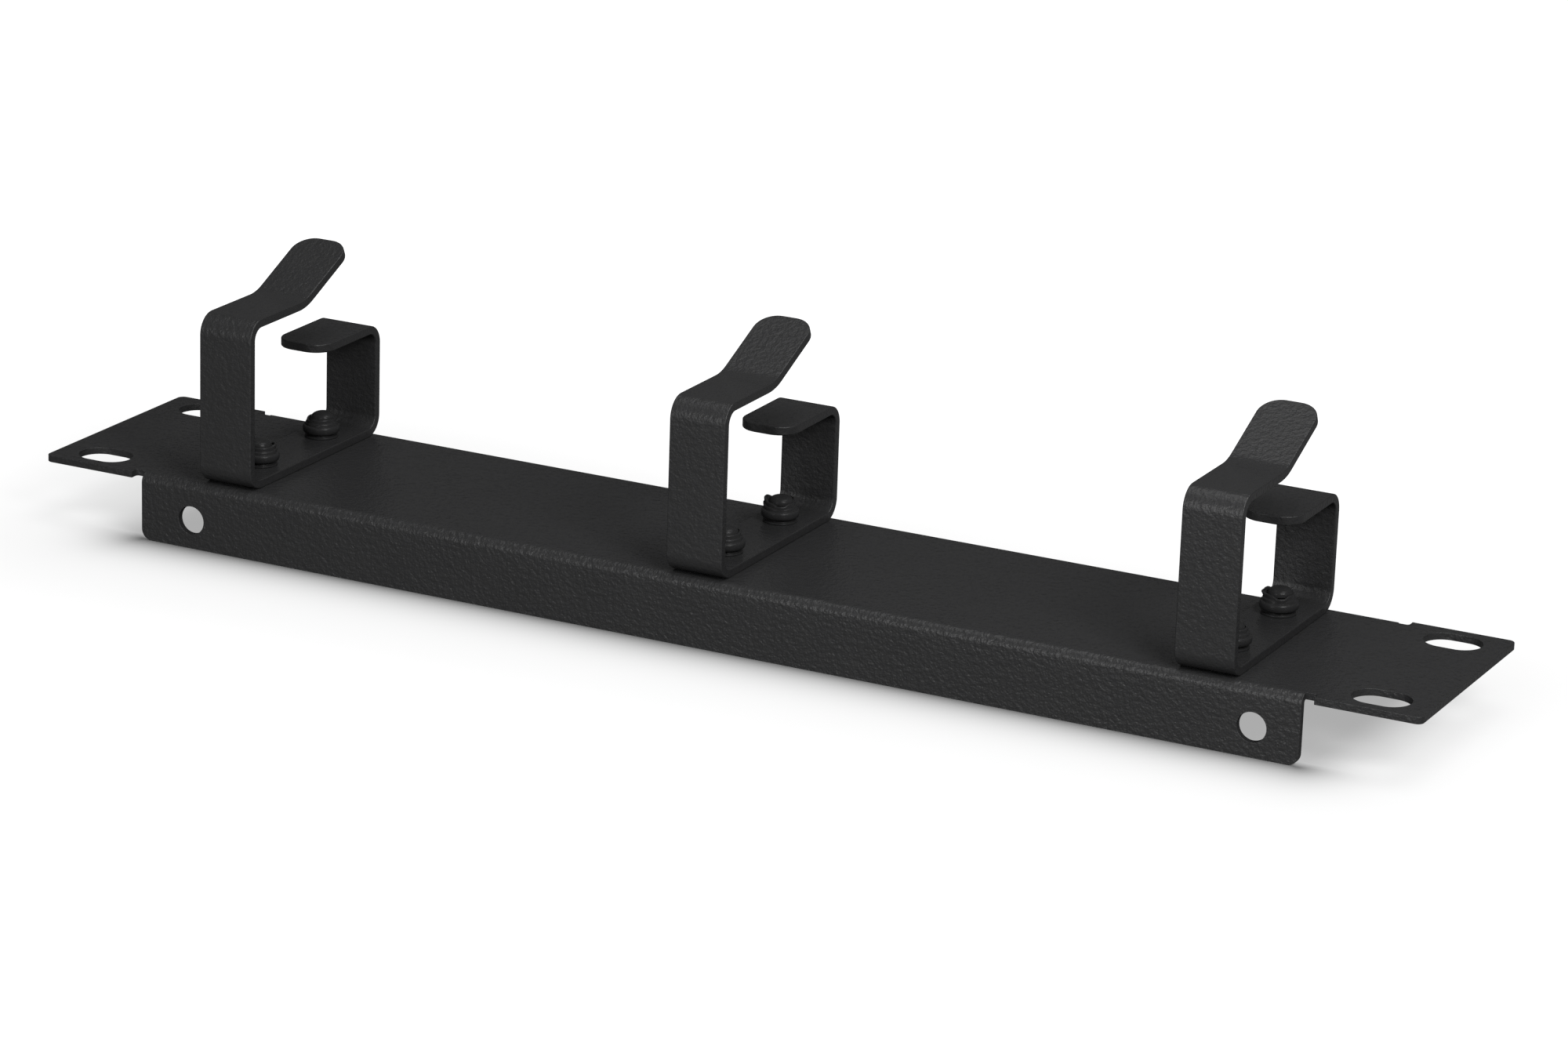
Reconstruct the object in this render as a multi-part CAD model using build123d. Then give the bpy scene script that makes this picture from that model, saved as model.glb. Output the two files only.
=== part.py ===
"""Horizontal cable manager for a 10 inch rack: a folded panel with three riveted strip rings.

Millimetres. X runs along the panel, Y from front to back, Z up out of the panel's face.
The origin is the centre of the four rack slots, on the panel's mounting (under) face.
"""

import os
from math import cos, hypot, radians, sin

from build123d import *

# Panel sheet
PANEL_LENGTH = 254.0
PANEL_DEPTH = 43.0
SHEET = 1.2
SHEET_BEND_INNER = 0.5
EAR_LENGTH = 19.8
EAR_CORNER_R = 1.2

# Flanges folded down along the front and the back
FLANGE_HEIGHT = 11.9
FLANGE_CORNER_R = 1.9
RELIEF_WIDTH = 2.0
RELIEF_CORNER_R = 0.5
FLANGE_HOLE_D = 5.0
FLANGE_HOLE_INSET_LEFT = 10.05
FLANGE_HOLE_INSET_RIGHT = 8.1
FLANGE_HOLE_DROP = 6.85

# Rack slots, on the 10 inch rack spacing
SLOT_SPACING_X = 236.525
SLOT_SPACING_Y = 31.75
SLOT_LENGTH = 9.8
SLOT_WIDTH = 7.2

# Rings, each folded from one strip
RING_SPACING = 90.4
RING_INSET = 0.2
STRIP_WIDTH = 10.2
STRIP = 1.5
STRIP_BEND_INNER = 2.1
FRONT_HEIGHT = 30.0
REAR_HEIGHT = 20.3
TAB_REACH = 19.3
KICK_START = 17.6
KICK_ANGLE = 24.7
KICK_LENGTH = 16.4
KICK_BEND_INNER = 9.0
END_CORNER_R = 3.8

# Blind rivets, set from below; their blind ends stand inside the rings
RIVET_SPACING_Y = 19.8
RIVET_D = 4.9
RIVET_HEAD_D = 9.5
RIVET_HEAD_HEIGHT = 1.5
RIVET_HEAD_EDGE = 0.4
BLIND_NECK = 0.85
BLIND_FLARE = 0.4
BLIND_BELT = 0.6
BLIND_SHOULDER = 0.75
BLIND_RIM = 0.7
BLIND_BULB_D = 6.5
BLIND_RIM_D = 4.9

# The mandrel left in each rivet
MANDREL_STEM_D = 2.7
MANDREL_HEAD_D = 4.1
MANDREL_SHOULDER_D = 3.3
MANDREL_SHOULDER = 0.75
MANDREL_TIP_D = 1.3
MANDREL_TIP = 0.5
MANDREL_BREAK_DEPTH = 0.5

# Places worked out from the sizes
SHEET_BEND_OUTER = SHEET_BEND_INNER + SHEET
STRIP_BEND_OUTER = STRIP_BEND_INNER + STRIP
FLANGE_LENGTH = PANEL_LENGTH - 2 * EAR_LENGTH
RING_DEPTH = PANEL_DEPTH - 2 * RING_INSET
WEB_TOP = SHEET + STRIP
BELT_TOP = WEB_TOP + BLIND_NECK + BLIND_FLARE + BLIND_BELT
BULB_TOP = BELT_TOP + BLIND_SHOULDER
RIM_TOP = BULB_TOP + BLIND_RIM
RINGS = {"left": -RING_SPACING, "middle": 0.0, "right": RING_SPACING}
RIVET_ROWS = {"front": -RIVET_SPACING_Y / 2, "rear": RIVET_SPACING_Y / 2}


def block(x, y, z):
    """A box between the two ends given for each axis."""
    centre = ((x[0] + x[1]) / 2, (y[0] + y[1]) / 2, (z[0] + z[1]) / 2)
    return Pos(*centre) * Box(x[1] - x[0], y[1] - y[0], z[1] - z[0])


def shifted(a, b, distance):
    """The line from a to b, moved sideways to its left by a distance."""
    length = hypot(b[0] - a[0], b[1] - a[1])
    nx, ny = -(b[1] - a[1]) / length, (b[0] - a[0]) / length
    return (a[0] + nx * distance, a[1] + ny * distance), (b[0] + nx * distance, b[1] + ny * distance)


def crossing(first, second):
    """Where two lines meet."""
    (x1, y1), (x2, y2) = first
    (x3, y3), (x4, y4) = second
    along = (x2 - x1) * (y4 - y3) - (y2 - y1) * (x4 - x3)
    t = ((x3 - x1) * (y4 - y3) - (y3 - y1) * (x4 - x3)) / along
    return x1 + t * (x2 - x1), y1 + t * (y2 - y1)


def folded_section(outer, thickness, radii):
    """Section of a folded sheet.

    outer is the path of one face with sharp corners and the sheet lies to its left.
    radii holds, for each corner, the radius on that face and the radius on the other face.
    """
    lines = [shifted(a, b, thickness) for a, b in zip(outer, outer[1:])]
    other = [lines[0][0]]
    other += [crossing(a, b) for a, b in zip(lines, lines[1:])]
    other.append(lines[-1][1])
    section = Sketch() + make_face(Polyline(*outer, *reversed(other), close=True))
    for index, (near, far) in enumerate(radii, start=1):
        for corner, radius in ((outer[index], near), (other[index], far)):
            vertex = section.vertices().sort_by_distance((corner[0], corner[1], 0))[0]
            section = fillet(vertex, radius)
    return section


# Panel

def make_relief(side, face):
    """Cutter for the bend relief at one end of one flange, out to past the panel's edge."""
    half_flange, half_depth = FLANGE_LENGTH / 2, PANEL_DEPTH / 2
    reach = half_depth - SHEET_BEND_OUTER
    width, depth = (half_flange, half_flange + RELIEF_WIDTH), (reach, half_depth + SHEET)
    relief = block(width, depth, (-SHEET, 2 * SHEET))
    inner = relief.edges().filter_by(Axis.Z).group_by(Axis.Y)[0]
    relief = fillet(inner, RELIEF_CORNER_R)
    if side < 0:
        relief = mirror(relief, about=Plane.YZ)
    if face < 0:
        relief = mirror(relief, about=Plane.XZ)
    return relief


def make_panel():
    """Panel: one sheet with two slotted ears and a flange folded down at the front and the back."""
    half_length, half_depth, half_flange = PANEL_LENGTH / 2, PANEL_DEPTH / 2, FLANGE_LENGTH / 2
    low = SHEET - FLANGE_HEIGHT
    path = [(half_depth, low), (half_depth, SHEET), (-half_depth, SHEET), (-half_depth, low)]
    bend = (SHEET_BEND_OUTER, SHEET_BEND_INNER)
    section = Plane.YZ * folded_section(path, SHEET, [bend, bend])
    channel = extrude(section, half_flange, both=True)
    ends = channel.edges().filter_by(Axis.Y).group_by(Axis.Z)[0]
    channel = fillet(ends, FLANGE_CORNER_R)

    ears = block((-half_length, half_length), (-half_depth, half_depth), (0, SHEET))
    ears = fillet(ears.edges().filter_by(Axis.Z), EAR_CORNER_R)
    ears -= block((-half_flange, half_flange), (-half_depth, half_depth), (0, SHEET))
    for side in (-1, 1):
        for face in (-1, 1):
            ears -= make_relief(side, face)
    panel = channel + ears

    slot = extrude(SlotOverall(SLOT_LENGTH, SLOT_WIDTH), 2 * SHEET, both=True)
    for x in (-SLOT_SPACING_X / 2, SLOT_SPACING_X / 2):
        for y in (-SLOT_SPACING_Y / 2, SLOT_SPACING_Y / 2):
            panel -= Pos(x, y, 0) * slot
    hole = Rot(90, 0, 0) * Cylinder(FLANGE_HOLE_D / 2, PANEL_DEPTH + 2 * SHEET)
    for x in (FLANGE_HOLE_INSET_LEFT - half_flange, half_flange - FLANGE_HOLE_INSET_RIGHT):
        panel -= Pos(x, 0, SHEET - FLANGE_HOLE_DROP) * hole
    for x in RINGS.values():
        for y in RIVET_ROWS.values():
            panel -= Pos(x, y, 0) * Cylinder(RIVET_D / 2, 4 * SHEET)
    return panel


# Rings

def make_ring():
    """Ring: one strip folded into a web, two walls, a rear tab and a raised kick over the cable mouth."""
    front, rear = -RING_DEPTH / 2, RING_DEPTH / 2
    rise, run = sin(radians(KICK_ANGLE)), cos(radians(KICK_ANGLE))
    kick = front + KICK_START
    tip = (kick + KICK_LENGTH * run, FRONT_HEIGHT + KICK_LENGTH * rise)
    tab = (rear - TAB_REACH, REAR_HEIGHT)
    path = [tip, (kick, FRONT_HEIGHT), (front, FRONT_HEIGHT), (front, 0), (rear, 0), (rear, REAR_HEIGHT), tab]
    bend = (STRIP_BEND_OUTER, STRIP_BEND_INNER)
    kick_bend = (KICK_BEND_INNER, KICK_BEND_INNER + STRIP)
    section = Plane.YZ * folded_section(path, STRIP, [kick_bend, bend, bend, bend, bend])
    ring = extrude(section, STRIP_WIDTH / 2, both=True)

    ends = ((tip[0] + rise * STRIP / 2, tip[1] - run * STRIP / 2), (tab[0], tab[1] - STRIP / 2))
    for y, z in ends:
        corners = [ring.edges().sort_by_distance((x, y, z))[0] for x in (-STRIP_WIDTH / 2, STRIP_WIDTH / 2)]
        ring = fillet(corners, END_CORNER_R)
    for y in RIVET_ROWS.values():
        ring -= Pos(0, y, STRIP / 2) * Cylinder(RIVET_D / 2, 2 * STRIP)
    return Pos(0, 0, SHEET) * ring


# Rivets

def turned(outline):
    """A body turned about Z from its half section, given as radius and height."""
    return revolve(Plane.XZ * make_face(Polyline(*outline, close=True)), Axis.Z)


def make_rivet():
    """Rivet shell: low head under the panel, shank through both sheets and a swollen blind end over the web."""
    head, shank, stem = RIVET_HEAD_D / 2, RIVET_D / 2, MANDREL_STEM_D / 2
    bulb, rim = BLIND_BULB_D / 2, BLIND_RIM_D / 2
    outline = [
        (stem, -RIVET_HEAD_HEIGHT),
        (head, -RIVET_HEAD_EDGE),
        (head, 0),
        (shank, 0),
        (shank, WEB_TOP + BLIND_NECK),
        (bulb, BELT_TOP - BLIND_BELT),
        (bulb, BELT_TOP),
        (rim, BULB_TOP),
        (rim, RIM_TOP),
        (stem, RIM_TOP),
    ]
    return turned(outline)


def make_mandrel():
    """Mandrel remnant: the domed head pulled onto the blind end and the stem broken off in the rivet's head."""
    stem, head = MANDREL_STEM_D / 2, MANDREL_HEAD_D / 2
    broken = MANDREL_BREAK_DEPTH - RIVET_HEAD_HEIGHT
    outline = [
        (0, broken),
        (stem, broken),
        (stem, RIM_TOP),
        (head, RIM_TOP),
        (MANDREL_SHOULDER_D / 2, RIM_TOP + MANDREL_SHOULDER),
        (MANDREL_TIP_D / 2, RIM_TOP + MANDREL_SHOULDER + MANDREL_TIP),
        (0, RIM_TOP + MANDREL_SHOULDER + MANDREL_TIP),
    ]
    return turned(outline)


# Assembly

def make_parts():
    """Every piece in its place, by node name."""
    parts = {"panel": make_panel()}
    ring, rivet, mandrel = make_ring(), make_rivet(), make_mandrel()
    for side, x in RINGS.items():
        parts[f"ring_{side}"] = Pos(x, 0, 0) * ring
        for row, y in RIVET_ROWS.items():
            place = Pos(x, y, 0)
            parts[f"rivet_{side}_{row}"] = place * rivet
            parts[f"mandrel_{side}_{row}"] = place * mandrel
    return parts


def main():
    """Write one STEP file for each piece."""
    os.makedirs("parts", exist_ok=True)
    for name, shape in make_parts().items():
        export_step(shape, f"parts/{name}.step")


if __name__ == "__main__":
    main()
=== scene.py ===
"""Looks of a horizontal cable manager for a half-width rack: folded panel, strip rings, blind rivets.

Metres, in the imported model's frame: X along the panel, Y from front to back, Z up out of the panel's face,
and the panel's under face at Z = 0. Sizes in the classes are in millimetres.
"""

import logging
from dataclasses import dataclass
from enum import Enum
from math import copysign, cos, pi, radians, sin, tan
from typing import Any, Callable, Iterable, Sequence

import bmesh
import bpy
from mathutils import Matrix, Vector


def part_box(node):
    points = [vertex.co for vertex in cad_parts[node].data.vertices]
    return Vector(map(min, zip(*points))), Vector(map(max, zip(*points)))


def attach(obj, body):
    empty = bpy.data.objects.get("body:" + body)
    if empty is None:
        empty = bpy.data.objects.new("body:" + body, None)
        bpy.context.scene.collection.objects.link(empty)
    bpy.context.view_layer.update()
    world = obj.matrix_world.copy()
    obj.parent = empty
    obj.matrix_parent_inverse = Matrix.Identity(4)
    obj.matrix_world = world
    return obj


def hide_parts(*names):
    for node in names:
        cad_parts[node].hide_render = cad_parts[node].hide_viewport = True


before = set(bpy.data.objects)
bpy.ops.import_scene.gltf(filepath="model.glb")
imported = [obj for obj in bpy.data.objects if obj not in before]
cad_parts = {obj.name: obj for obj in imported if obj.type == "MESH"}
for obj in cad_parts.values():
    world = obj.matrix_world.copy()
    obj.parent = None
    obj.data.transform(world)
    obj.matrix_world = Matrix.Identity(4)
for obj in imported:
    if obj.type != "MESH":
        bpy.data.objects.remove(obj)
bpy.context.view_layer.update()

MM = 0.001
NEAR = 0.02 * MM
ALIGNED = 0.9
SHARP_EDGE = radians(40)
Point = Sequence[float]

logging.basicConfig(level=logging.INFO, format="%(name)s: %(message)s")
log = logging.getLogger("cable_manager")


class Pick(Enum):
    """What a selection is made of, by Blender's name for it."""

    POINTS = "VERT"
    EDGES = "EDGE"
    FACES = "FACE"


class Coat(Enum):
    """Names for the three coats."""

    PANEL = "panel_coat"
    RING = "ring_coat"
    RIVET = "rivet_coat"


# Shader building

class Wire:
    """An output socket that takes part in arithmetic; every operator adds a Math node."""

    def __init__(self, desk: "NodeDesk", socket: bpy.types.NodeSocket) -> None:
        """Wrap a socket.

        Args:
            desk: the node tree's builder.
            socket: the output that carries the value.
        """
        self.desk = desk
        self.socket = socket

    def __add__(self, other: Any) -> "Wire":
        """This value plus another."""
        return self.desk.math("ADD", self, other)

    __radd__ = __add__

    def __sub__(self, other: Any) -> "Wire":
        """This value less another."""
        return self.desk.math("SUBTRACT", self, other)

    def __rsub__(self, other: Any) -> "Wire":
        """Another value less this one."""
        return self.desk.math("SUBTRACT", other, self)

    def __mul__(self, other: Any) -> "Wire":
        """This value times another."""
        return self.desk.math("MULTIPLY", self, other)

    __rmul__ = __mul__

    def __pow__(self, power: float) -> "Wire":
        """This value to a power."""
        return self.desk.math("POWER", self, power)


class NodeDesk:
    """Builds the nodes of one material or world."""

    FIRST_COLOUR = 6
    SECOND_COLOUR = 7
    BLENDED_COLOUR = 2

    def __init__(self, tree: bpy.types.NodeTree) -> None:
        """Empty the tree and take it over.

        Args:
            tree: the node tree.
        """
        self.tree = tree
        tree.nodes.clear()

    def node(self, kind: str, settings: dict | None = None, inputs: dict | None = None) -> bpy.types.Node:
        """Add a node.

        Args:
            kind: the node's type.
            settings: its own options, set first.
            inputs: values, wires or sockets by the input's name or number.

        Returns:
            The new node.
        """
        node = self.tree.nodes.new(kind)
        for name, setting in (settings or {}).items():
            setattr(node, name, setting)
        for key, given in (inputs or {}).items():
            socket = given.socket if isinstance(given, Wire) else given
            if isinstance(socket, bpy.types.NodeSocket):
                self.tree.links.new(socket, node.inputs[key])
            else:
                node.inputs[key].default_value = given
        return node

    def wire(self, kind: str, output: str, settings: dict | None = None, inputs: dict | None = None) -> Wire:
        """Add a node and take one of its outputs.

        Args:
            kind: the node's type.
            output: the name of the output.
            settings: its own options.
            inputs: its inputs.

        Returns:
            That output as a wire.
        """
        return Wire(self, self.node(kind, settings, inputs).outputs[output])

    def math(self, operation: str, *values: Any) -> Wire:
        """Add one Math node.

        Args:
            operation: the node's operation.
            values: its inputs in order, as wires, sockets or numbers.

        Returns:
            The node's result.
        """
        node = self.node("ShaderNodeMath", {"operation": operation}, dict(enumerate(values)))
        return Wire(self, node.outputs[0])

    def noise(self, vector: Wire, size: float, detail: float, roughness: float = 0.5) -> Wire:
        """Noise whose lumps are a given size across.

        Args:
            vector: the place on the piece.
            size: how far apart the lumps are, in metres.
            detail: how many finer layers are added.
            roughness: how strong the finer layers are.

        Returns:
            The noise, about 0 to 1.
        """
        inputs = {"Vector": vector, "Scale": 1 / size, "Detail": detail, "Roughness": roughness}
        return self.wire("ShaderNodeTexNoise", "Fac", {"noise_dimensions": "3D"}, inputs)

    def between(self, factor: Wire, low: float, high: float) -> Wire:
        """Map a value of 0 to 1 onto another range.

        Args:
            factor: the value.
            low: the result at 0.
            high: the result at 1.

        Returns:
            The mapped value.
        """
        return factor * (high - low) + low

    def blend(self, factor: Wire, first: Point, second: Point) -> Wire:
        """Blend two colours.

        Args:
            factor: 0 for the first colour and 1 for the second.
            first: the first colour, linear RGB.
            second: the second colour, linear RGB.

        Returns:
            The blended colour.
        """
        inputs = {"Factor": factor, self.FIRST_COLOUR: (*first, 1), self.SECOND_COLOUR: (*second, 1)}
        node = self.node("ShaderNodeMix", {"data_type": "RGBA"}, inputs)
        return Wire(self, node.outputs[self.BLENDED_COLOUR])


@dataclass(frozen=True)
class PowderCoat:
    """Baked powder paint over steel: satin black with a fine orange peel. Sizes in millimetres.

    level_share and level_polish are the relief and roughness on level faces, as shares of those elsewhere.
    """

    name: str
    base: Point = (0.0168, 0.0168, 0.0172)
    thin: Point = (0.0228, 0.0228, 0.0233)
    peel_tint: float = 0.6
    roughness: Point = (0.37, 0.45)
    gloss: float = 0.24
    peel: float = 0.80
    peel_detail: float = 1.5
    peel_height: float = 0.120
    grain: float = 0.32
    grain_detail: float = 1.0
    grain_height: float = 0.055
    mottle: float = 9.0
    mottle_detail: float = 3.0
    mottle_roughness: float = 0.6
    level_share: float = 0.85
    level_polish: float = 0.54
    level_sharpness: int = 4

    def build(self) -> bpy.types.Material:
        """Make the material. Where the surface lies level, the paint has flowed out and is smoother.

        Returns:
            The finished material.
        """
        material = bpy.data.materials.new(self.name)
        material.use_nodes = True
        desk = NodeDesk(material.node_tree)
        place = desk.wire("ShaderNodeTexCoord", "Object")
        peel = desk.noise(place, self.peel * MM, self.peel_detail)
        grain = desk.noise(place, self.grain * MM, self.grain_detail)
        mottle = desk.noise(place, self.mottle * MM, self.mottle_detail, self.mottle_roughness)
        facing = desk.node("ShaderNodeSeparateXYZ", None, {0: desk.wire("ShaderNodeTexCoord", "Normal")})
        level = desk.math("ABSOLUTE", facing.outputs["Z"]) ** self.level_sharpness
        height = peel * (self.peel_height * MM) + grain * (self.grain_height * MM)
        height = height * desk.between(level, 1.0, self.level_share)
        bump = {"Strength": 1.0, "Distance": 1.0, "Height": height}
        thinness = peel * self.peel_tint + mottle * (1 - self.peel_tint)
        polish = desk.between(level, 1.0, self.level_polish)
        shader = desk.node("ShaderNodeBsdfPrincipled", None, {
            "Base Color": desk.blend(thinness, self.base, self.thin),
            "Roughness": desk.between(mottle, *self.roughness) * polish,
            "Specular IOR Level": self.gloss,
            "Normal": desk.wire("ShaderNodeBump", "Normal", None, bump),
        })
        desk.node("ShaderNodeOutputMaterial", None, {"Surface": shader.outputs[0]})
        return material


# The bench

class Workpiece:
    """One mesh on the bench, shaped with Blender's own modelling tools."""

    ROD_SIDES = 64

    def __init__(self, name: str) -> None:
        """Take over the object that was just added.

        Args:
            name: the piece's name.
        """
        self.object = bpy.context.object
        self.object.name = name
        self.object.data.name = name

    @staticmethod
    def clear() -> None:
        """Leave edit mode and select nothing."""
        if bpy.context.object and bpy.context.object.mode == "EDIT":
            bpy.ops.object.mode_set(mode="OBJECT")
        bpy.ops.object.select_all(action="DESELECT")

    @classmethod
    def sheet(cls, name: str, centre: Point, size: Point, turn: Point = (0, 0, 0)) -> "Workpiece":
        """Add a flat rectangle.

        Args:
            name: the piece's name.
            centre: its middle.
            size: its two sides.
            turn: its turn about X, Y and Z.

        Returns:
            The new piece.
        """
        cls.clear()
        bpy.ops.mesh.primitive_plane_add(size=1, location=centre, rotation=turn)
        piece = cls(name)
        piece.object.scale = (*size, 1)
        piece.settle()
        return piece

    @classmethod
    def hoop(cls, name: str, radius: float, height: float, around: int) -> "Workpiece":
        """Add an open circle around Z.

        Args:
            name: the piece's name.
            radius: its radius.
            height: its height.
            around: how many points it has.

        Returns:
            The new piece.
        """
        cls.clear()
        bpy.ops.mesh.primitive_circle_add(vertices=around, radius=radius, location=(0, 0, height))
        piece = cls(name)
        piece.settle()
        return piece

    @classmethod
    def rod(cls, centre: Point, radius: float, length: float, turn: Point = (0, 0, 0)) -> "Workpiece":
        """Add a round bar, used as a cutter.

        Args:
            centre: its middle.
            radius: its radius.
            length: its length.
            turn: its turn about X, Y and Z.

        Returns:
            The new piece.
        """
        cls.clear()
        bpy.ops.mesh.primitive_cylinder_add(
            vertices=cls.ROD_SIDES, radius=radius, depth=length, location=centre, rotation=turn
        )
        piece = cls("cutter")
        piece.settle()
        return piece

    def settle(self) -> None:
        """Put the object's place, turn and scale into its mesh."""
        bpy.ops.object.transform_apply(location=True, rotation=True, scale=True)

    def focus(self) -> None:
        """Make this the only selected piece."""
        self.clear()
        self.object.select_set(True)
        bpy.context.view_layer.objects.active = self.object

    def edit(self) -> None:
        """Go into edit mode with everything selected."""
        self.focus()
        bpy.ops.object.mode_set(mode="EDIT")
        bpy.ops.mesh.select_all(action="SELECT")

    def leave(self) -> None:
        """Go back to object mode."""
        bpy.ops.object.mode_set(mode="OBJECT")

    def pick(self, kind: Pick, test: Callable[[Vector, Vector], bool]) -> None:
        """Select by place and direction.

        Args:
            kind: what to select.
            test: says yes or no from a middle and a normal, or for an edge its direction.
        """
        bpy.ops.mesh.select_mode(type=kind.value)
        bpy.ops.mesh.select_all(action="DESELECT")
        mesh = bmesh.from_edit_mesh(self.object.data)
        if kind is Pick.POINTS:
            found = [v for v in mesh.verts if test(v.co, v.normal)]
        elif kind is Pick.EDGES:
            ends = {e: (e.verts[0].co, e.verts[1].co) for e in mesh.edges}
            found = [e for e, (a, b) in ends.items() if test((a + b) / 2, (b - a).normalized())]
        else:
            found = [f for f in mesh.faces if test(f.calc_center_median(), f.normal)]
        for element in found:
            element.select_set(True)
        mesh.select_flush_mode()
        bmesh.update_edit_mesh(self.object.data)

    def extrude(self, step: Point) -> None:
        """Extrude the selection by a step."""
        bpy.ops.mesh.extrude_region_move(TRANSFORM_OT_translate={"value": step})

    def resize(self, factor: float, centre: Point) -> None:
        """Scale the selection across Z about a centre."""
        bpy.ops.transform.resize(value=(factor, factor, 1), center_override=centre)

    def shift(self, step: Point, reach: float = 0.0) -> None:
        """Move the selection.

        Args:
            step: how far.
            reach: how far around it the mesh is drawn along.
        """
        bpy.ops.transform.translate(
            value=step,
            use_proportional_edit=reach > 0,
            proportional_edit_falloff="SMOOTH",
            proportional_size=max(reach, NEAR),
        )

    def round_corners(self, radius: float, segments: int) -> None:
        """Round the selected edges to a radius."""
        bpy.ops.mesh.bevel(offset=radius, segments=segments, profile=0.5, affect="EDGES", clamp_overlap=False)

    def tidy(self) -> None:
        """Merge what meets and turn every face outwards."""
        bpy.ops.mesh.select_all(action="SELECT")
        bpy.ops.mesh.remove_doubles(threshold=NEAR / 20)
        bpy.ops.mesh.normals_make_consistent(inside=False)

    def finish_with(self, kind: str, **settings: Any) -> None:
        """Add a modifier and apply it.

        Args:
            kind: the modifier's type.
            settings: its options.
        """
        self.focus()
        modifier = self.object.modifiers.new(kind.lower(), kind)
        for name, setting in settings.items():
            setattr(modifier, name, setting)
        bpy.ops.object.modifier_apply(modifier=modifier.name)

    def cut(self, cutters: Iterable["Workpiece"]) -> None:
        """Take other pieces out of this one, and throw them away.

        Args:
            cutters: the pieces to take out, none touching another.
        """
        tools = list(cutters)
        tools[0].focus()
        for tool in tools[1:]:
            tool.object.select_set(True)
        bpy.ops.object.join()
        self.finish_with("BOOLEAN", object=tools[0].object, operation="DIFFERENCE", solver="EXACT")
        tools[0].focus()
        bpy.ops.object.delete()
        self.edit()
        self.tidy()
        self.leave()

    def soften(self, width: float, segments: int = 3) -> None:
        """Round every sharp edge, as a coat of paint does, and shade the rest smooth."""
        self.focus()
        bpy.ops.object.shade_smooth()
        self.finish_with(
            "BEVEL", width=width, segments=segments, limit_method="ANGLE", angle_limit=SHARP_EDGE,
            harden_normals=True, use_clamp_overlap=True, miter_outer="MITER_ARC",
        )

    def copy(self, name: str, step: Point) -> "Workpiece":
        """Copy this piece with its own mesh.

        Args:
            name: the copy's name.
            step: how far the copy is moved.

        Returns:
            The copy.
        """
        self.focus()
        bpy.ops.object.duplicate(linked=False)
        copied = Workpiece(name)
        copied.object.location = step
        copied.settle()
        return copied

    def dress(self, material: bpy.types.Material, coat: Coat, node: str) -> None:
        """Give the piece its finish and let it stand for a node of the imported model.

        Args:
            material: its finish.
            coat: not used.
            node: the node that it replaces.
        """
        self.object.data.materials.clear()
        self.object.data.materials.append(material)
        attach(self.object, "root")
        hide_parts(node)
        size, faces = self.object.dimensions / MM, len(self.object.data.polygons)
        log.info("%s: %.1f x %.1f x %.1f mm, %d faces", self.object.name, *size, faces)


class PressBrake:
    """Carries the selected end face of a sheet along straight runs and around bends, across X."""

    def __init__(self, piece: Workpiece, start: Point, heading: float) -> None:
        """Begin at the sheet's end.

        Args:
            piece: the sheet, in edit mode, with its end face selected.
            start: a point (Y, Z) on the face that is followed, in metres.
            heading: the direction from +Y towards +Z, in degrees.
        """
        self.piece = piece
        self.y, self.z = start
        self.heading = radians(heading)

    def run(self, length: float) -> None:
        """Go straight on for a length in metres."""
        step = (0, length * cos(self.heading), length * sin(self.heading))
        self.piece.extrude(step)
        self.y += step[1]
        self.z += step[2]

    def bend(self, turn: float, radius: float, steps: int) -> None:
        """Go around a bend.

        Args:
            turn: how far, in degrees, with + from +Y towards +Z.
            radius: the radius of the face that is followed, in metres.
            steps: how many facets the bend has.
        """
        angle = radians(turn)
        side = copysign(radius, turn)
        centre_y = self.y - side * sin(self.heading)
        centre_z = self.z + side * cos(self.heading)
        bpy.ops.mesh.spin(steps=steps, angle=-angle, center=(0, centre_y, centre_z), axis=(1, 0, 0))
        self.heading += angle
        self.y = centre_y + side * sin(self.heading)
        self.z = centre_z - side * cos(self.heading)


# How the rivets came out

@dataclass(frozen=True)
class Petal:
    """A torn tongue of a rivet's blind end. Angles in degrees from +X towards +Y, sizes in millimetres."""

    angle: float
    lift: float
    out: float
    reach: float = 1.0


@dataclass(frozen=True)
class BlindEnd:
    """How one rivet's blind end came out. Sizes in millimetres, angles in degrees."""

    lean_to: float
    lean: float
    tilt: float
    petals: tuple[Petal, ...]


# Directions on the panel as the photograph shows them, in degrees from +X towards +Y
PICTURE_LEFT = 206.4
PICTURE_RIGHT = 26.4
PICTURE_BACK = 116.4

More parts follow.
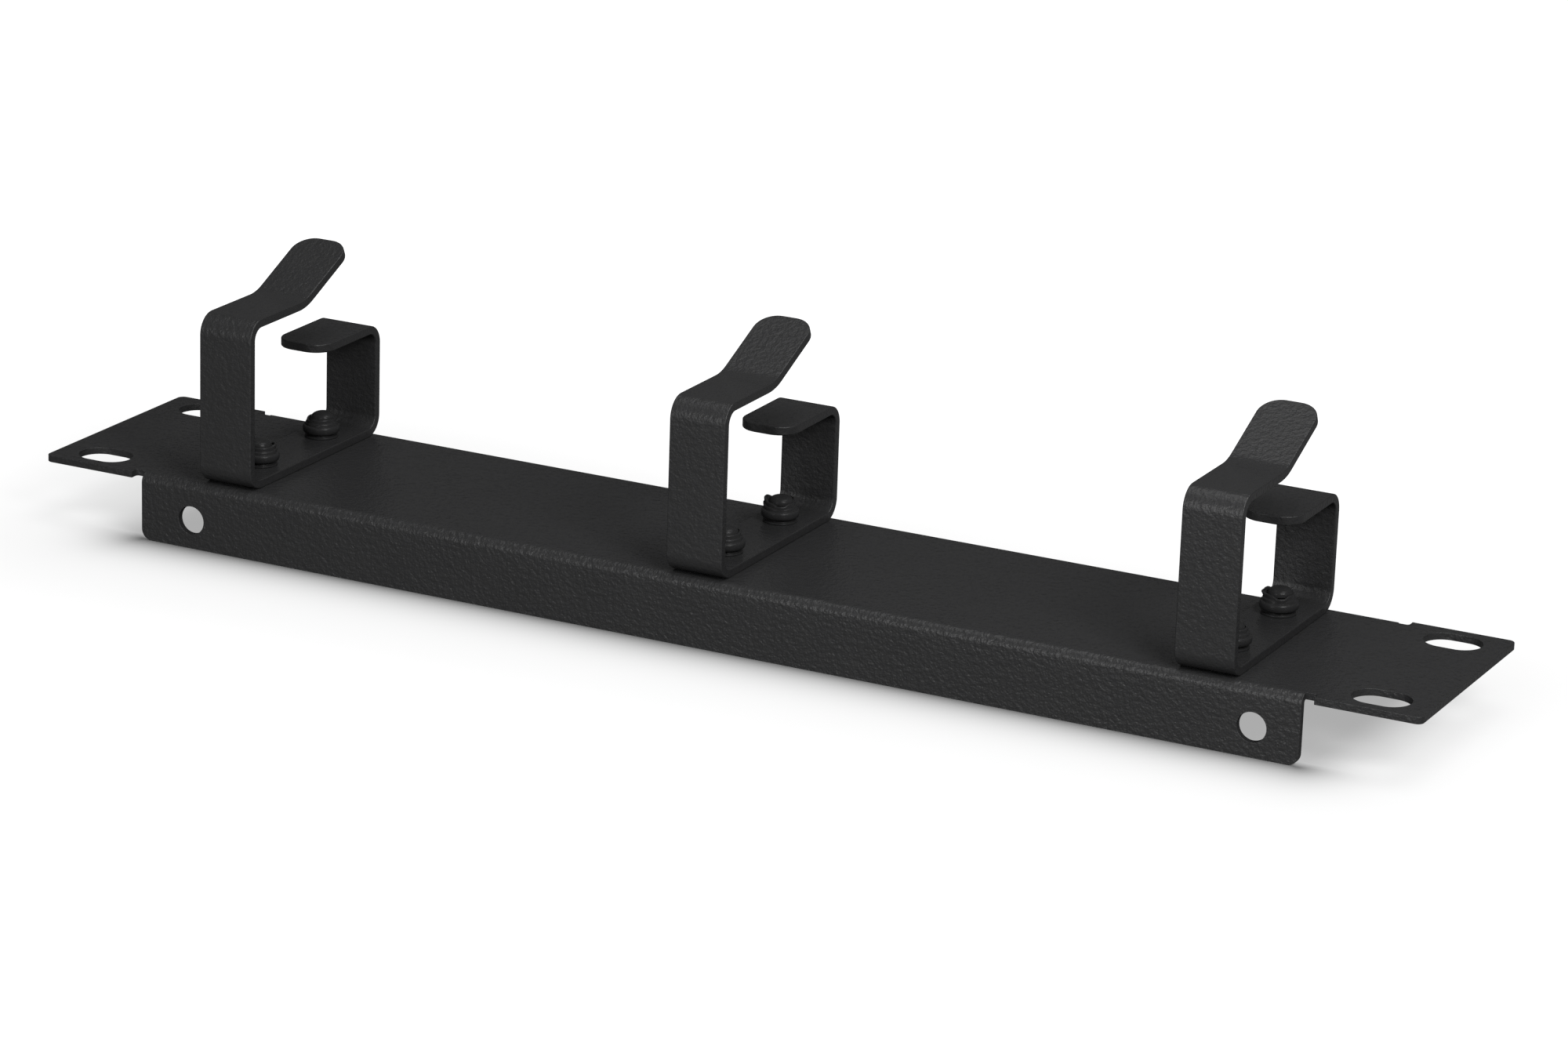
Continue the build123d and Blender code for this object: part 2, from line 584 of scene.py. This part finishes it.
BLIND_ENDS = {
    "left_front": BlindEnd(PICTURE_LEFT, 0.15, 9.0, (
        Petal(PICTURE_RIGHT, 0.25, 0.25),
        Petal(150, 0.2, 0.1),
    )),
    "left_rear": BlindEnd(PICTURE_RIGHT, 0.30, 11.0, (
        Petal(PICTURE_RIGHT + 30, 0.30, 0.0),
        Petal(230, -0.3, 0.15),
    )),
    "middle_front": BlindEnd(PICTURE_BACK, 0.15, 7.0, (
        Petal(50, 0.25, 0.1),
        Petal(190, 0.3, 0.1),
    )),
    "middle_rear": BlindEnd(PICTURE_RIGHT, 0.12, 5.0, (
        Petal(186, 0.65, 0.40, 1.4),
        Petal(60, 0.40, 0.25, 1.1),
        Petal(300, -0.35, 0.1),
    )),
    "right_front": BlindEnd(PICTURE_LEFT, 0.10, 5.0, (
        Petal(100, 0.2, 0.1),
        Petal(240, -0.2, 0.2),
    )),
    "right_rear": BlindEnd(PICTURE_RIGHT, 0.10, 3.0, (
        Petal(170, 0.40, 0.3, 0.8),
        Petal(205, 0.25, 0.5, 0.7),
        Petal(300, -0.4, 0.2),
    )),
}


def rivet_place(name: str) -> Vector:
    """Where a rivet stands.

    Args:
        name: its place, such as left_front.

    Returns:
        The middle of its node, at the panel's under face.
    """
    low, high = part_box(f"rivet_{name}")
    return Vector(((low.x + high.x) / 2, (low.y + high.y) / 2, 0))


# The object's pieces

@dataclass
class FoldedPanel:
    """The panel: one sheet with slotted ears and a flange folded down along the front and the back."""

    sheet: float = 1.2
    bend: float = 1.7
    ear: float = 19.8
    ear_corner: float = 1.2
    flange_corner: float = 1.9
    relief: float = 2.0
    relief_corner: float = 0.5
    slot_spacing: Point = (236.525, 31.75)
    slot_length: float = 9.8
    slot_width: float = 7.2
    flange_hole: float = 5.0
    flange_hole_insets: Point = (10.05, 8.1)
    flange_hole_drop: float = 6.85
    rivet_hole: float = 4.9
    paint_round: float = 0.38
    bend_steps: int = 12
    ear_corner_steps: int = 6
    relief_corner_steps: int = 5
    flange_corner_steps: int = 10
    punch_length: float = 7.2
    cross_punch_share: float = 1.2

    def fold(self) -> Workpiece:
        """Fold the sheet: up the front flange, over the panel and down the rear flange.

        Returns:
            The folded sheet with its ears, not yet pierced.
        """
        low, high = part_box("panel")
        bend, sheet = self.bend * MM, self.sheet * MM
        half_flange = high.x - self.ear * MM
        rise = high.z - low.z - bend
        centre = (0, low.y + sheet / 2, low.z)
        panel = Workpiece.sheet("folded_panel", centre, (2 * half_flange, sheet))
        panel.edit()
        brake = PressBrake(panel, (low.y, low.z), 90)
        brake.run(rise)
        brake.bend(-90, bend, self.bend_steps)
        brake.run(high.y - low.y - 2 * bend)
        brake.bend(-90, bend, self.bend_steps)
        brake.run(rise)
        for side in (-1, 1):
            self.draw_ear(panel, side, half_flange)
        panel.tidy()
        return panel

    def draw_ear(self, panel: Workpiece, side: int, half_flange: float) -> None:
        """Draw one ear out of the sheet's end, past the bend reliefs.

        Args:
            panel: the sheet, in edit mode.
            side: -1 for the left end and 1 for the right end.
            half_flange: half the length of the flanges, in metres.
        """
        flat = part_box("panel")[1].y - self.bend * MM
        panel.pick(Pick.FACES, lambda c, n: abs(c.x - side * half_flange) < NEAR and abs(c.y) < flat / 2)
        panel.extrude((side * self.relief * MM, 0, 0))
        panel.extrude((side * (self.ear - self.relief) * MM, 0, 0))
        root = half_flange + self.relief * MM
        for edge in (-1, 1):
            panel.pick(
                Pick.FACES,
                lambda c, n: side * c.x > root and abs(c.y - edge * flat) < NEAR and abs(n.y) > ALIGNED,
            )
            panel.extrude((0, edge * self.bend * MM, 0))

    def round_outline(self, panel: Workpiece) -> None:
        """Round the corners of the ears, the flanges and the reliefs.

        Args:
            panel: the folded sheet, in edit mode.
        """
        low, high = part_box("panel")
        half_flange = high.x - self.ear * MM
        root = half_flange + self.relief * MM
        flat = high.y - self.bend * MM

        def upright_at(x: float, y: float) -> Callable[[Vector, Vector], bool]:
            """A test for the upright edges at a place, on either side of both middle lines."""
            return lambda c, d: abs(d.z) > ALIGNED and abs(abs(c.x) - x) < NEAR and abs(abs(c.y) - y) < NEAR

        def at_flange_foot(c: Vector, d: Vector) -> bool:
            """Whether an edge crosses the sheet at a lower corner of a flange."""
            return abs(d.y) > ALIGNED and abs(c.z - low.z) < NEAR and abs(c.x) > half_flange - NEAR

        panel.pick(Pick.EDGES, upright_at(high.x, high.y))
        panel.round_corners(self.ear_corner * MM, self.ear_corner_steps)
        panel.pick(Pick.EDGES, upright_at(root, flat))
        panel.round_corners(self.relief_corner * MM, self.relief_corner_steps)
        panel.pick(Pick.EDGES, at_flange_foot)
        panel.round_corners(self.flange_corner * MM, self.flange_corner_steps)

    def cutters(self) -> list[Workpiece]:
        """Make the punches for the rack slots, the flange holes and the rivet holes.

        Returns:
            The punches.
        """
        low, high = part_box("panel")
        across = self.cross_punch_share * (high.y - low.y)
        punches = []
        for x in (-self.slot_spacing[0] / 2, self.slot_spacing[0] / 2):
            for y in (-self.slot_spacing[1] / 2, self.slot_spacing[1] / 2):
                punches.append(self.slot_punch(x * MM, y * MM))
        hole_z = high.z - self.flange_hole_drop * MM
        left_inset, right_inset = self.flange_hole_insets
        for x in (low.x + (self.ear + left_inset) * MM, high.x - (self.ear + right_inset) * MM):
            punches.append(Workpiece.rod((x, 0, hole_z), self.flange_hole / 2 * MM, across, (pi / 2, 0, 0)))
        for name in BLIND_ENDS:
            place = rivet_place(name)
            punches.append(Workpiece.rod(place, self.rivet_hole / 2 * MM, self.punch_length * MM))
        return punches

    def slot_punch(self, x: float, y: float) -> Workpiece:
        """Make the punch for one slot, round at both ends.

        Args:
            x: the slot's middle along the panel, in metres.
            y: the slot's middle across the panel, in metres.

        Returns:
            The punch.
        """
        punch = Workpiece.rod((x, y, 0), self.slot_width / 2 * MM, self.punch_length * MM)
        reach = (self.slot_length - self.slot_width) / 2 * MM
        punch.edit()
        for side in (-1, 1):
            punch.pick(Pick.POINTS, lambda c, n: side * (c.x - x) > NEAR)
            punch.shift((side * reach, 0, 0))
        punch.leave()
        return punch

    def build(self, material: bpy.types.Material) -> None:
        """Make and dress the panel.

        Args:
            material: its finish.
        """
        panel = self.fold()
        self.round_outline(panel)
        panel.leave()
        panel.cut(self.cutters())
        panel.soften(self.paint_round * MM)
        panel.dress(material, Coat.PANEL, "panel")


@dataclass
class StripRing:
    """A ring: one strip folded into a tab, a rear wall, a web, a front wall and a raised kick."""

    strip: float = 1.5
    bend: float = 3.6
    front_height: float = 30.0
    rear_height: float = 20.3
    tab_reach: float = 19.3
    kick_start: float = 17.6
    kick_angle: float = 24.7
    kick_length: float = 16.4
    kick_bend: float = 9.0
    end_corner: float = 3.8
    rivet_hole: float = 4.9
    rivet_spacing: float = 19.8
    paint_round: float = 0.20
    bend_steps: int = 14
    kick_bend_steps: int = 8
    end_corner_steps: int = 12
    punch_length: float = 6.0

    def fold(self) -> Workpiece:
        """Fold the middle ring's strip from the tab's end to the kick's end.

        Returns:
            The folded strip, in edit mode.
        """
        low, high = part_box("ring_middle")
        strip, bend = self.strip * MM, self.bend * MM
        depth = high.y - low.y
        tab_y = high.y - self.tab_reach * MM
        tab_z = low.z + self.rear_height * MM
        end = (0, tab_y, tab_z - strip / 2)
        ring = Workpiece.sheet("strip", end, (high.x - low.x, strip), (pi / 2, 0, 0))
        ring.edit()
        tangent = self.kick_bend * tan(radians(self.kick_angle / 2)) * MM
        brake = PressBrake(ring, (tab_y, tab_z), 0)
        brake.run(self.tab_reach * MM - bend)
        brake.bend(-90, bend, self.bend_steps)
        brake.run(self.rear_height * MM - 2 * bend)
        brake.bend(-90, bend, self.bend_steps)
        brake.run(depth - 2 * bend)
        brake.bend(-90, bend, self.bend_steps)
        brake.run(self.front_height * MM - 2 * bend)
        brake.bend(-90, bend, self.bend_steps)
        brake.run(self.kick_start * MM - bend - tangent)
        brake.bend(self.kick_angle, self.kick_bend * MM, self.kick_bend_steps)
        brake.run(self.kick_length * MM - tangent)
        ring.tidy()
        return ring

    def round_ends(self, ring: Workpiece) -> None:
        """Round the strip's two ends across its width.

        Args:
            ring: the folded strip, in edit mode.
        """
        low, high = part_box("ring_middle")
        tab_y = high.y - self.tab_reach * MM
        tab_z = low.z + (self.rear_height - self.strip) * MM
        slope = radians(self.kick_angle)
        along = Vector((0, cos(slope), sin(slope)))
        kick_root = Vector((0, low.y + self.kick_start * MM, low.z + self.front_height * MM))
        reach = kick_root.dot(along) + self.kick_length * MM
        ring.pick(Pick.EDGES, lambda c, d: abs(d.z) > ALIGNED and abs(c.y - tab_y) < NEAR and c.z > tab_z)
        ring.round_corners(self.end_corner * MM, self.end_corner_steps)
        ring.pick(Pick.EDGES, lambda c, d: abs(d.x) < 1 - ALIGNED and abs(c.dot(along) - reach) < NEAR)
        ring.round_corners(self.end_corner * MM, self.end_corner_steps)

    def build(self, material: bpy.types.Material) -> None:
        """Make one ring, copy it to its places and dress the copies.

        Args:
            material: its finish.
        """
        ring = self.fold()
        self.round_ends(ring)
        ring.leave()
        web_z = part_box("ring_middle")[0].z
        half_spacing = self.rivet_spacing / 2 * MM
        ring.cut([
            Workpiece.rod((0, y, web_z), self.rivet_hole / 2 * MM, self.punch_length * MM)
            for y in (-half_spacing, half_spacing)
        ])
        ring.soften(self.paint_round * MM)
        for side in ("left", "middle", "right"):
            node_low, node_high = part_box(f"ring_{side}")
            copied = ring.copy(f"strip_ring_{side}", ((node_low.x + node_high.x) / 2, 0, 0))
            copied.dress(material, Coat.RING, f"ring_{side}")
        ring.focus()
        bpy.ops.object.delete()


@dataclass(frozen=True)
class Corner:
    """A corner of a turned outline, and how far from it its rounding starts. Millimetres."""

    radius: float
    height: float
    rounding: float = 0.0

    @property
    def point(self) -> Vector:
        """The corner as radius and height."""
        return Vector((self.radius, self.height))


def rounded(corners: Sequence[Corner], steps: int = 3) -> list[Point]:
    """Round the corners of an outline with curves. Its two ends stay sharp.

    Args:
        corners: the outline's corners in order.
        steps: how many facets a rounding has.

    Returns:
        Radius and height of each point, in millimetres.
    """
    outline = [tuple(corners[0].point)]
    for before, corner, after in zip(corners, corners[1:], corners[2:]):
        start = corner.point.lerp(before.point, corner.rounding / (before.point - corner.point).length)
        finish = corner.point.lerp(after.point, corner.rounding / (after.point - corner.point).length)
        parts = [step / steps for step in range(steps + 1)] if corner.rounding else [0]
        for part in parts:
            onwards = corner.point.lerp(finish, part)
            outline.append(tuple(start.lerp(corner.point, part).lerp(onwards, part)))
    outline.append(tuple(corners[-1].point))
    return outline


@dataclass
class BlindRivets:
    """The six rivets: shells set from below and the mandrels left in them."""

    around: int = 64
    shell_corners: tuple[Corner, ...] = (
        Corner(1.35, -1.50),
        Corner(3.60, -1.50, 0.95),
        Corner(4.75, -0.65, 0.45),
        Corner(4.75, 0.00, 0.07),
        Corner(2.45, 0.00),
        Corner(2.45, 2.70),
        Corner(2.90, 2.70, 0.12),
        Corner(2.90, 3.05, 0.15),
        Corner(2.45, 3.05, 0.12),
        Corner(2.45, 3.44, 0.06),
        Corner(3.25, 3.44, 0.68),
        Corner(3.25, 4.93, 0.42),
        Corner(2.78, 4.93, 0.04),
        Corner(2.74, 5.50, 0.23),
        Corner(2.46, 5.50, 0.04),
        Corner(2.44, 6.18, 0.22),
        Corner(2.07, 6.18, 0.08),
        Corner(2.06, 5.80),
        Corner(1.35, 5.70),
        Corner(1.35, -1.50),
    )
    mandrel_corners: tuple[Corner, ...] = (
        Corner(1.10, -0.98),
        Corner(1.35, -1.04),
        Corner(1.35, 5.70),
        Corner(2.04, 5.80, 0.12),
        Corner(2.04, 6.26),
    )
    dome_steps: int = 8
    mandrel_top: float = 7.25
    rim_from: float = 5.7
    rim_inside: float = 1.9
    dome_from: float = 6.0
    petal_half_angle: float = 14.0
    smooth_under: float = 50.0

    def turned(self, name: str, lines: Sequence[Point]) -> Workpiece:
        """Turn a body around Z from its outline, one circle drawn out of another.

        Args:
            name: the piece's name.
            lines: radius and height of each circle.

        Returns:
            The body, open at both ends, in edit mode with its last circle selected.
        """
        radius, height = lines[0]
        piece = Workpiece.hoop(name, radius * MM, height * MM, self.around)
        piece.edit()
        for next_radius, next_height in lines[1:]:
            piece.extrude((0, 0, (next_height - height) * MM))
            piece.resize(next_radius / radius, (0, 0, next_height * MM))
            radius, height = next_radius, next_height
        return piece

    def shell(self) -> Workpiece:
        """Make a rivet shell before it tears.

        Returns:
            The closed shell around Z.
        """
        shell = self.turned("rivet_shell", rounded(self.shell_corners))
        shell.tidy()
        shell.leave()
        return shell

    def mandrel(self) -> Workpiece:
        """Make a mandrel remnant: the stepped, domed head and the broken stem.

        Returns:
            The closed mandrel around Z.
        """
        side = self.mandrel_corners[-1]
        rise = self.mandrel_top - side.height
        quarters = [pi / 2 * step / self.dome_steps for step in range(1, self.dome_steps)]
        dome = [(side.radius * cos(turn), side.height + rise * sin(turn)) for turn in quarters]
        outline = rounded(self.mandrel_corners) + dome
        mandrel = self.turned("mandrel", outline)
        mandrel.extrude((0, 0, (self.mandrel_top - outline[-1][1]) * MM))
        bpy.ops.mesh.merge(type="CENTER")
        break_z = self.mandrel_corners[0].height * MM
        mandrel.pick(Pick.POINTS, lambda c, n: abs(c.z - break_z) < NEAR)
        mandrel.extrude((0, 0, 0))
        bpy.ops.mesh.merge(type="CENTER")
        mandrel.tidy()
        mandrel.leave()
        return mandrel

    def tear(self, shell: Workpiece, end: BlindEnd) -> None:
        """Raise and spread the torn tongues of one blind end.

        Args:
            shell: the rivet shell, still around Z.
            end: how it came out.
        """
        shell.edit()
        for petal in end.petals:
            angle = radians(petal.angle)
            outwards = Vector((cos(angle), sin(angle), 0))
            shell.pick(Pick.POINTS, lambda c, n: self.on_rim(c, outwards))
            step = outwards * petal.out + Vector((0, 0, petal.lift))
            shell.shift(step * MM, petal.reach * MM)
        shell.leave()

    def on_rim(self, place: Vector, outwards: Vector) -> bool:
        """Whether a point is on the shell's rim, close to a direction."""
        flat = Vector((place.x, place.y, 0))
        ahead = flat.normalized().dot(outwards) > cos(radians(self.petal_half_angle))
        return ahead and flat.length > self.rim_inside * MM and place.z > self.rim_from * MM

    def lean(self, mandrel: Workpiece, end: BlindEnd) -> None:
        """Lean the mandrel's dome over, as the pull left it.

        Args:
            mandrel: the mandrel, still around Z.
            end: how it came out.
        """
        angle = radians(end.lean_to)
        towards = Vector((cos(angle), sin(angle), 0))
        mandrel.edit()
        mandrel.pick(Pick.POINTS, lambda c, n: c.z > self.dome_from * MM)
        bpy.ops.transform.rotate(
            value=radians(end.tilt), orient_axis="Z", orient_type="GLOBAL",
            orient_matrix=self.axis_along(Vector((-towards.y, towards.x, 0))), orient_matrix_type="GLOBAL",
            center_override=(0, 0, self.dome_from * MM),
        )
        mandrel.shift(towards * end.lean * MM)
        mandrel.leave()

    @staticmethod
    def axis_along(axis: Vector) -> Matrix:
        """A frame whose Z points along an axis."""
        return axis.to_track_quat("Z", "Y").to_matrix()

    def build(self, material: bpy.types.Material) -> None:
        """Make a shell and a mandrel, copy them to the six places and dress each copy.

        Args:
            material: their finish.
        """
        shell, mandrel = self.shell(), self.mandrel()
        for name, end in BLIND_ENDS.items():
            place = rivet_place(name)
            torn = shell.copy(f"blind_rivet_{name}", (0, 0, 0))
            self.tear(torn, end)
            self.stand(torn, place)
            torn.dress(material, Coat.RIVET, f"rivet_{name}")
            head = mandrel.copy(f"rivet_mandrel_{name}", (0, 0, 0))
            self.lean(head, end)
            self.stand(head, place)
            head.dress(material, Coat.RIVET, f"mandrel_{name}")
        for pattern in (shell, mandrel):
            pattern.focus()
            bpy.ops.object.delete()

    def stand(self, piece: Workpiece, place: Vector) -> None:
        """Move a finished piece to its place and smooth it.

        Args:
            piece: the piece, still around Z.
            place: where it goes.
        """
        piece.focus()
        piece.object.location = place
        piece.settle()
        bpy.ops.object.shade_smooth_by_angle(angle=radians(self.smooth_under))


# The studio

@dataclass(frozen=True)
class Softbox:
    """A square soft light that faces the object. Metres and watts."""

    name: str
    place: Point
    size: float
    power: float

    def hang(self) -> None:
        """Add the light to the scene."""
        light = bpy.data.lights.new(self.name, "AREA")
        light.shape = "SQUARE"
        light.size = self.size
        light.energy = self.power
        lamp = bpy.data.objects.new(self.name, light)
        bpy.context.collection.objects.link(lamp)
        lamp.location = self.place
        lamp.rotation_euler = (-Vector(self.place)).to_track_quat("-Z", "Y").to_euler()


@dataclass
class Studio:
    """A pale floor under plain soft light, white behind."""

    floor_size: float = 6.0
    floor_colour: float = 0.16
    # near_glow, near_reach and shade_falloff set the painted contact shadow at the flanges' feet; under_reach
    # and under_pace set the painted glow under the panel.
    near_glow: float = 0.69
    near_reach: float = 0.025
    far_glow: float = 0.40
    far_reach: float = 0.120
    under_reach: float = 0.0048
    under_pace: float = 2.0
    shade_falloff: int = 4
    lights: tuple[Softbox, ...] = (
        Softbox("main_light", (0.51, -0.35, 0.44), 0.26, 4.5),
        Softbox("front_light", (-0.08, -1.15, 0.33), 0.5, 7.6),
        Softbox("right_top_light", (0.35, 0.0, 1.25), 0.7, 7.9),
        Softbox("top_light", (0.0, 0.0, 1.30), 1.2, 6.6),
        Softbox("back_light", (-0.85, 1.60, 1.00), 1.5, 0.62),
    )

    def glow(self, desk: NodeDesk) -> Wire:
        """How much light the floor gives off to the camera: none at the flanges' feet, all of it far away.
        The dip at the flanges' feet is a painted contact shadow, and the grey glow under the panel, seen
        through its holes, is painted light.

        Args:
            desk: the floor material's builder.

        Returns:
            The strength, with 1 for white.
        """
        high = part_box("panel")[1]
        half_flange = high.x - FoldedPanel.ear * MM
        place = desk.node("ShaderNodeSeparateXYZ", None, {0: desk.wire("ShaderNodeTexCoord", "Object")})
        beside = desk.math("ABSOLUTE", place.outputs["X"]) - half_flange
        beside = desk.math("MAXIMUM", beside, 0.0)
        before = desk.math("ABSOLUTE", place.outputs["Y"]) - high.y
        # Under the panel the floor still glows grey: painted light where the panel's shadow falls, seen
        # through the flange holes.
        under = desk.math("MINIMUM", before * -self.under_pace, self.under_reach)
        before = desk.math("MAXIMUM", before, under)
        away = (beside * beside + before * before) ** 0.5
        near = desk.math("MINIMUM", away * (1 / self.near_reach), 1.0)
        far = desk.math("MINIMUM", away * (1 / self.far_reach), 1.0)
        # The painted contact shadow: the glow fades out towards the flanges' feet.
        shade = (1 - near) ** self.shade_falloff
        return (1 - shade) * self.near_glow + far * self.far_glow

    def floor(self) -> None:
        """Lay the floor under the flanges. It holds the object's cast shadow, and glows to the camera alone,
        with a painted contact shadow at the flanges' feet.
        """
        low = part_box("panel")[0]
        floor = Workpiece.sheet("studio_floor", (0, 0, low.z), (self.floor_size, self.floor_size))
        material = bpy.data.materials.new("floor_paper")
        material.use_nodes = True
        desk = NodeDesk(material.node_tree)
        grey = (self.floor_colour, self.floor_colour, self.floor_colour, 1)
        glow = desk.wire("ShaderNodeLightPath", "Is Camera Ray") * self.glow(desk)
        paper = desk.node("ShaderNodeBsdfDiffuse", None, {"Color": grey})
        lit = desk.node("ShaderNodeEmission", None, {"Strength": glow})
        both = desk.node("ShaderNodeAddShader", None, {0: paper.outputs[0], 1: lit.outputs[0]})
        desk.node("ShaderNodeOutputMaterial", None, {"Surface": both.outputs[0]})
        floor.object.data.materials.append(material)

    def sky(self) -> None:
        """Make the world white to the camera and dark to everything else."""
        world = bpy.data.worlds.new("studio")
        bpy.context.scene.world = world
        world.use_nodes = True
        desk = NodeDesk(world.node_tree)
        camera_ray = desk.wire("ShaderNodeLightPath", "Is Camera Ray")
        light = desk.node("ShaderNodeBackground", None, {"Color": (1, 1, 1, 1), "Strength": camera_ray})
        desk.node("ShaderNodeOutputWorld", None, {"Surface": light.outputs[0]})

    def build(self) -> None:
        """Set up the floor, the world and the soft lights."""
        self.floor()
        self.sky()
        for light in self.lights:
            light.hang()
        bpy.context.scene.view_settings.view_transform = "Standard"


@dataclass
class PhotoCamera:
    """The photograph's camera, given by where it looks from. Degrees and metres, the lens in millimetres."""

    azimuth: float = 26.3893
    elevation: float = 17.6927
    roll: float = 1.9152
    distance: float = 0.91198
    aim: Point = (0.004068, 0.003310, 0.004826)
    lens: float = 125.367
    sensor: float = 36.0

    def build(self) -> None:
        """Make it the scene's camera."""
        turn, rise, roll = radians(self.azimuth), radians(self.elevation), radians(self.roll)
        level = Vector((cos(turn), sin(turn), 0))
        back = Vector((sin(turn) * cos(rise), -cos(turn) * cos(rise), sin(rise)))
        upright = back.cross(level)
        right = level * cos(roll) + upright * sin(roll)
        up = upright * cos(roll) - level * sin(roll)
        data = bpy.data.cameras.new("photo_camera")
        data.sensor_width = self.sensor
        data.lens = self.lens
        camera = bpy.data.objects.new("photo_camera", data)
        bpy.context.collection.objects.link(camera)
        pose = Matrix((right, up, back)).transposed().to_4x4()
        pose.translation = Vector(self.aim) + back * self.distance
        camera.matrix_world = pose
        bpy.context.scene.camera = camera


def main() -> None:
    """Build the camera, the studio and every piece in order."""
    panel_powder = PowderCoat("panel_powder", peel_height=0.17, grain_height=0.065)
    ring_powder = PowderCoat("ring_powder")
    rivet_powder = PowderCoat(
        "rivet_powder", roughness=(0.26, 0.34), gloss=0.09, peel_height=0.04, grain_height=0.02,
        level_share=1.0, level_polish=1.0,
    )
    PhotoCamera().build()
    Studio().build()
    FoldedPanel().build(panel_powder.build())
    StripRing().build(ring_powder.build())
    BlindRivets().build(rivet_powder.build())
    log.info("all pieces made")


if __name__ == "__main__":
    main()
